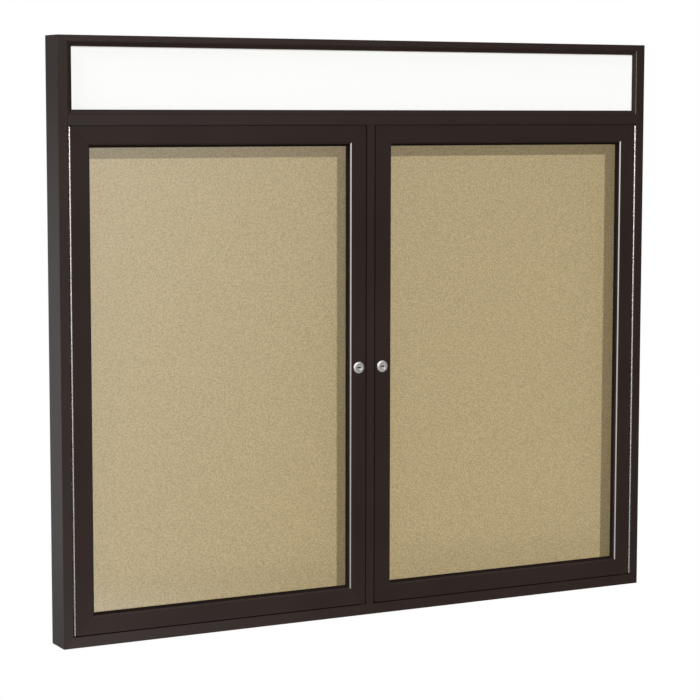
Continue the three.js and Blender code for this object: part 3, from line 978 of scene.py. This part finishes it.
# Back panel
def rivet_tree():
    """Sets a low round head on each point of a mesh."""
    grove = Grove("panel_rivets", [("Head size", "Vector"), ("Finish", "Material")])
    dome = grove.node("GeometryNodeMeshUVSphere", {}, {"Segments": 24, "Rings": 12, "Radius": 1.0})
    given = grove.given
    heads = grove.node(
        "GeometryNodeInstanceOnPoints",
        {},
        {"Points": given["Geometry"], "Instance": dome.outputs["Mesh"], "Scale": given["Head size"]},
    )
    real = grove.node("GeometryNodeRealizeInstances", {}, {"Geometry": heads.outputs["Instances"]})
    smooth = grove.node(
        "GeometryNodeSetShadeSmooth", {}, {"Geometry": real.outputs["Geometry"], "Shade Smooth": True}
    )
    painted = grove.node(
        "GeometryNodeSetMaterial", {}, {"Geometry": smooth.outputs["Geometry"], "Material": given["Finish"]}
    )
    grove.feed(grove.result, painted.outputs["Geometry"])
    return grove


def back_panel():
    """The sheet at the back, held to the rails by a row of low rivets all round."""
    low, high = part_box("back_panel")
    outline = [(low.x, low.z), (high.x, low.z), (high.x, high.z), (low.x, high.z)]
    mesh = slab("back_sheet", outline, "y", low.y, high.y - PANEL_RECESS)
    sheet = new_piece("back_sheet", mesh, FINISHES["mill_aluminium"])
    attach(sheet, "case")
    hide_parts("back_panel")
    points = []
    for start, end, fixed, along in (
        (low.x, high.x, low.z + PANEL_RIVET_INSET, "x"),
        (low.x, high.x, high.z - PANEL_RIVET_INSET, "x"),
        (low.z, high.z, low.x + PANEL_RIVET_INSET, "z"),
        (low.z, high.z, high.x - PANEL_RIVET_INSET, "z"),
    ):
        count = round((end - start) / PANEL_RIVET_PITCH)
        for i in range(count):
            place = start + (i + 0.5) * (end - start) / count
            points.append((place, fixed) if along == "x" else (fixed, place))
    builder = bmesh.new()
    for x, z in points:
        builder.verts.new((x, high.y - PANEL_RECESS, z))
    mesh = bpy.data.meshes.new("rivet_places")
    builder.to_mesh(mesh)
    builder.free()
    rivets = new_piece("back_sheet_rivets", mesh, FINISHES["mill_aluminium"])
    RIVETS.grow(
        rivets,
        {
            "Head size": (PANEL_RIVET_RADIUS, PANEL_RECESS, PANEL_RIVET_RADIUS),
            "Finish": FINISHES["mill_aluminium"],
        },
    )
    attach(rivets, "case")


RIVETS = rivet_tree()


# Camera, floor and light
def add_camera():
    forward = Vector(
        (
            math.sin(CAMERA_YAW) * math.cos(CAMERA_PITCH),
            math.cos(CAMERA_YAW) * math.cos(CAMERA_PITCH),
            math.sin(CAMERA_PITCH),
        )
    )
    level_right = Vector((math.cos(CAMERA_YAW), -math.sin(CAMERA_YAW), 0))
    level_up = level_right.cross(forward)
    right = math.cos(CAMERA_ROLL) * level_right + math.sin(CAMERA_ROLL) * level_up
    up = right.cross(forward)
    turn = Matrix((right, up, -forward)).transposed().to_4x4()
    data = bpy.data.cameras.new("camera")
    data.sensor_width = SENSOR_WIDTH
    data.lens = FOCAL_PIXELS * SENSOR_WIDTH / PICTURE_SIDE
    camera = bpy.data.objects.new("camera", data)
    camera.matrix_world = Matrix.Translation(CAMERA_PLACE) @ turn
    scene.collection.objects.link(camera)
    scene.camera = camera


def add_light(name, azimuth, elevation, width, strength, tint=(1, 1, 1)):
    """A distant light; azimuth runs from the front of the board to its right."""
    data = bpy.data.lights.new(name, "SUN")
    data.energy = strength
    data.color = tint
    data.angle = width
    lamp = bpy.data.objects.new(name, data)
    level = math.cos(elevation)
    towards = Vector((math.sin(azimuth) * level, -math.cos(azimuth) * level, math.sin(elevation)))
    lamp.rotation_euler = towards.to_track_quat("Z", "Y").to_euler()
    scene.collection.objects.link(lamp)
    return data


def add_floor():
    """A pale floor below the board, for the light that it throws back."""
    outline = [
        (-FLOOR_HALF_WIDTH, FLOOR_FRONT),
        (FLOOR_HALF_WIDTH, FLOOR_FRONT),
        (FLOOR_HALF_WIDTH, FLOOR_BACK),
        (-FLOOR_HALF_WIDTH, FLOOR_BACK),
    ]
    mesh = slab("floor", outline, "z", -FLOOR_DROP - FLOOR_THICKNESS, -FLOOR_DROP)
    finish = Finish("pale_floor")
    cloud = finish.noise(2, 2)
    finish.set(base_color=finish.blend(cloud, grey(0.68), grey(0.71)), roughness=0.9, specular=0.2)
    floor = new_piece("floor", mesh, finish.material)


class Studio(Finish):
    """The room round the board: a white backdrop behind it and soft boxes in front, as gloss sees them."""

    def __init__(self, tree):
        super().__init__("studio", tree)
        self.sight = self.node("ShaderNodeTexCoord").outputs["Generated"]

    def along(self, way):
        """How far a line of sight runs along a direction."""
        sockets = {0: self.sight, 1: way}
        node = self.node("ShaderNodeVectorMath", {"operation": "DOT_PRODUCT"}, sockets)
        return Signal(self, node.outputs["Value"])

    def soft_box(self, aim, width, height):
        """1 inside a rectangle of light and 0 outside it; sizes are for a box 1 m away."""
        a, e = (math.radians(angle) for angle in aim)
        ahead = Vector((math.sin(a) * math.cos(e), -math.cos(a) * math.cos(e), math.sin(e)))
        level = Vector((math.cos(a), math.sin(a), 0))
        upright = level.cross(ahead)
        reach = self.along(ahead)
        sides = []
        for way, (half, edge) in ((level, width), (upright, height)):
            offset = self.along(way) / reach
            sides.append(self.levels(offset.size(), half + edge, half))
        return sides[0] * sides[1] * self.levels(reach, 0, 0.05)


def add_world():
    """White for what is seen, softer for what lights the board, and a studio in its reflections."""
    world = bpy.data.worlds.new("studio")
    world.use_nodes = True
    scene.world = world
    studio = Studio(world.node_tree)
    path = studio.node("ShaderNodeLightPath")
    camera_ray = Signal(studio, path.outputs["Is Camera Ray"])
    glossy_ray = Signal(studio, path.outputs["Is Glossy Ray"])
    clear_ray = Signal(studio, path.outputs["Is Transmission Ray"])
    behind = studio.levels(studio.along((0, 1, 0)), -0.1, 0.1)
    backdrop = BACKDROP_LEFT + (1 - BACKDROP_LEFT) * studio.levels(studio.along((1, 0, 0)), -0.3, 0.1)
    mirrored = ROOM + behind * (backdrop - ROOM)
    for aim, width, height, strength in SOFT_BOXES:
        mirrored = mirrored + strength * studio.soft_box(aim, width, height)
    seen = camera_ray + clear_ray
    strength = seen + (1 - seen) * (glossy_ray * mirrored + (1 - glossy_ray) * AMBIENT)
    background = world.node_tree.nodes["Background"]
    background.inputs["Color"].default_value = grey(1)
    studio.feed(background.inputs["Strength"], strength)


def main():
    paint_nodes()
    for hand, sign in (("left", -1), ("right", 1)):
        hinge_leaf(hand, "case", 0, sign, "case")
        hinge_leaf(hand, "door", 1, -sign, f"{hand}_door")
        lock_head(hand, f"{hand}_door")
        lock_plug(hand, f"{hand}_lock_core")
    back_panel()
    soften_nodes()
    add_floor()
    add_light("key_light", KEY_AZIMUTH, KEY_ELEVATION, KEY_WIDTH, KEY_STRENGTH, KEY_COLOUR)
    add_light("side_light", SIDE_AZIMUTH, SIDE_ELEVATION, SIDE_WIDTH, SIDE_STRENGTH)
    add_light("rear_light", REAR_AZIMUTH, REAR_ELEVATION, REAR_WIDTH, REAR_STRENGTH)
    fill = add_light("fill_light", FILL_AZIMUTH, FILL_ELEVATION, FILL_WIDTH, FILL_STRENGTH, FILL_COLOUR)
    fill.use_shadow = False
    add_world()
    add_camera()
    scene.view_settings.view_transform = "Standard"


main()
